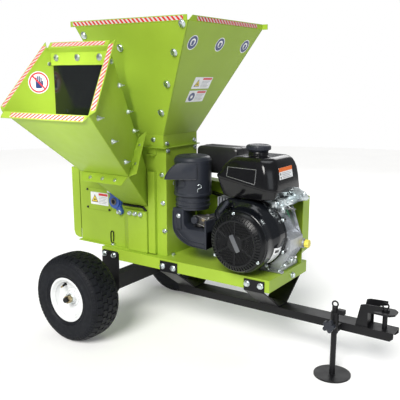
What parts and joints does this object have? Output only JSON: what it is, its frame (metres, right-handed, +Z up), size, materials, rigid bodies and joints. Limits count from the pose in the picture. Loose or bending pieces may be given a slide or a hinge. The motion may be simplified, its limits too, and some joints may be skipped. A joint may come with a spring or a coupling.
{
  "type": "wood chipper",
  "caption": "Towable garden wood chipper: branch chute and brush hopper over a disc rotor, belt driven by a petrol engine, on a two-wheel deck with tow bar and drop-leg jack.",
  "frame": {"origin": "on the ground, under the middle of the whole machine's box", "axes": "+X towards the hitch, +Y away from the branch chute, +Z up"},
  "size_m": [1.322, 0.9381, 1.157],
  "materials": {
    "lime_paint": "gloss powder coat",
    "frame_black": "satin powder coat",
    "rim_white": "gloss paint",
    "tyre_black": "tread rubber",
    "zinc": "zinc plated",
    "tool_steel": "ground steel",
    "rotor_iron": "oiled casting",
    "bearing_blue": "gloss paint",
    "engine_black": "gloss enamel",
    "plastic_black": "moulded",
    "tank_black": "gloss",
    "cast_aluminium": "as cast",
    "rubber_black": "sheet rubber",
    "dipstick_yellow": "moulded"
  },
  "bodies": {
    "chassis": {"tow_bar": "frame_black", "axle_beam": "frame_black", "axle_brackets": "frame_black", "deck_saddles": "frame_black", "jack_sleeve": "frame_black", "hitch_bracket": "frame_black", "recoil_cover": "plastic_black", "air_cleaner": "plastic_black", "intake_elbow": "plastic_black", "wheel_nuts": "zinc", "bolts": "zinc", "wing_nuts": "zinc", "control_bracket": "zinc", "deck_tray": "lime_paint", "near_plate": "lime_paint", "far_plate": "lime_paint", "housing_shell": "lime_paint", "corner_post": "lime_paint", "anvil_cover": "lime_paint", "inspection_cover": "lime_paint", "belt_guard": "lime_paint", "hopper_cheeks": "lime_paint", "hopper_ends": "lime_paint", "hopper_collar": "lime_paint", "chute_floor": "lime_paint", "chute_roof": "lime_paint", "chute_sides": "lime_paint", "chute_throat": "lime_paint", "curtain_clamp": "lime_paint", "flange_bearings": "bearing_blue", "bed_knife": "tool_steel", "drive_belts": "rubber_black", "throat_seal": "rubber_black", "blower_shroud": "engine_black", "muffler": "engine_black", "fuel_tank": "tank_black", "engine_block": "cast_aluminium", "carburettor": "cast_aluminium"},
    "wheel_near": {"tyre_near": "tyre_black", "rim_near": "rim_white"},
    "wheel_far": {"tyre_far": "tyre_black", "rim_far": "rim_white"},
    "hitch_pin": {"hitch_pin": "frame_black"},
    "jack_leg": {"jack_leg": "frame_black"},
    "jack_knob": {"jack_knob": "plastic_black"},
    "rotor": {"rotor_shaft": "tool_steel", "rotor_disc": "rotor_iron", "chipper_knives": "tool_steel", "rotor_pulley": "rotor_iron"},
    "crank": {"crankshaft": "tool_steel", "flywheel_fan": "cast_aluminium", "engine_pulley": "rotor_iron"},
    "deflector": {"rear_deflector": "lime_paint"},
    "curtain": {"rubber_curtain": "rubber_black"},
    "fuel_cap": {"fuel_cap": "plastic_black"},
    "dipstick": {"dipstick": "dipstick_yellow"},
    "starter_grip": {"starter_grip": "plastic_black"},
    "throttle_lever": {"throttle_lever": "zinc"},
    "governor_arm": {"governor_arm": "cast_aluminium"},
    "engine_switch": {"engine_switch": "plastic_black"}
  },
  "joints": [
    {"name": "wheel_near_spin", "type": "hinge", "parent": "chassis", "child": "wheel_near", "pos_m": [-0.433, -0.24, 0.165], "axis": [0, 1, 0], "continuous": true},
    {"name": "wheel_far_spin", "type": "hinge", "parent": "chassis", "child": "wheel_far", "pos_m": [-0.433, 0.404, 0.165], "axis": [0, 1, 0], "continuous": true},
    {"name": "rotor_spin", "type": "hinge", "parent": "chassis", "child": "rotor", "pos_m": [-0.417, 0.082, 0.492], "axis": [0, 1, 0], "continuous": true},
    {"name": "crank_spin", "type": "hinge", "parent": "chassis", "child": "crank", "pos_m": [0.17, 0.082, 0.43], "axis": [0, 1, 0], "continuous": true},
    {"name": "deflector_swing", "type": "hinge", "parent": "chassis", "child": "deflector", "pos_m": [-0.638, 0.082, 0.59], "axis": [0, 1, 0], "range_deg": [0, 50]},
    {"name": "curtain_swing", "type": "hinge", "parent": "chassis", "child": "curtain", "pos_m": [-0.322, -0.297, 1.003], "axis": [1, 0, 0], "range_deg": [-15, 12]},
    {"name": "hitch_pin_lift", "type": "slide", "parent": "chassis", "child": "hitch_pin", "axis": [0, 0, 1], "range_m": [0, 0.09]},
    {"name": "jack_leg_slide", "type": "slide", "parent": "chassis", "child": "jack_leg", "axis": [0, 0, 1], "range_m": [0, 0.12]},
    {"name": "jack_knob_turn", "type": "hinge", "parent": "chassis", "child": "jack_knob", "pos_m": [0.479, -0.025, 0.187], "axis": [0, 1, 0], "range_deg": [-720, 0]},
    {"name": "fuel_cap_turn", "type": "hinge", "parent": "chassis", "child": "fuel_cap", "pos_m": [0.159, 0.062, 0.717], "axis": [0, 0, 1], "range_deg": [0, 90]},
    {"name": "dipstick_turn", "type": "hinge", "parent": "chassis", "child": "dipstick", "pos_m": [0.309, 0.14, 0.396], "axis": [1, 0, 0], "range_deg": [0, 720]},
    {"name": "starter_pull", "type": "slide", "parent": "chassis", "child": "starter_grip", "axis": [0, -1, 0], "range_m": [0, 0.45], "stiffness_N_per_m": 40},
    {"name": "throttle_turn", "type": "hinge", "parent": "chassis", "child": "throttle_lever", "pos_m": [0.267, 0.026, 0.545], "axis": [0, 1, 0], "range_deg": [-20, 20]},
    {"name": "governor_swing", "type": "hinge", "parent": "chassis", "child": "governor_arm", "pos_m": [0.293, 0.13, 0.422], "axis": [0, 1, 0], "range_deg": [-6, 6], "stiffness_Nm_per_rad": 2},
    {"name": "engine_switch_rock", "type": "hinge", "parent": "chassis", "child": "engine_switch", "pos_m": [0.139, -0.022, 0.546], "axis": [1, 0, 0], "range_deg": [-10, 10]}
  ],
  "couplings": [
    {"joint": "crank_spin", "follows": "rotor_spin", "ratio": 1.5}
  ]
}
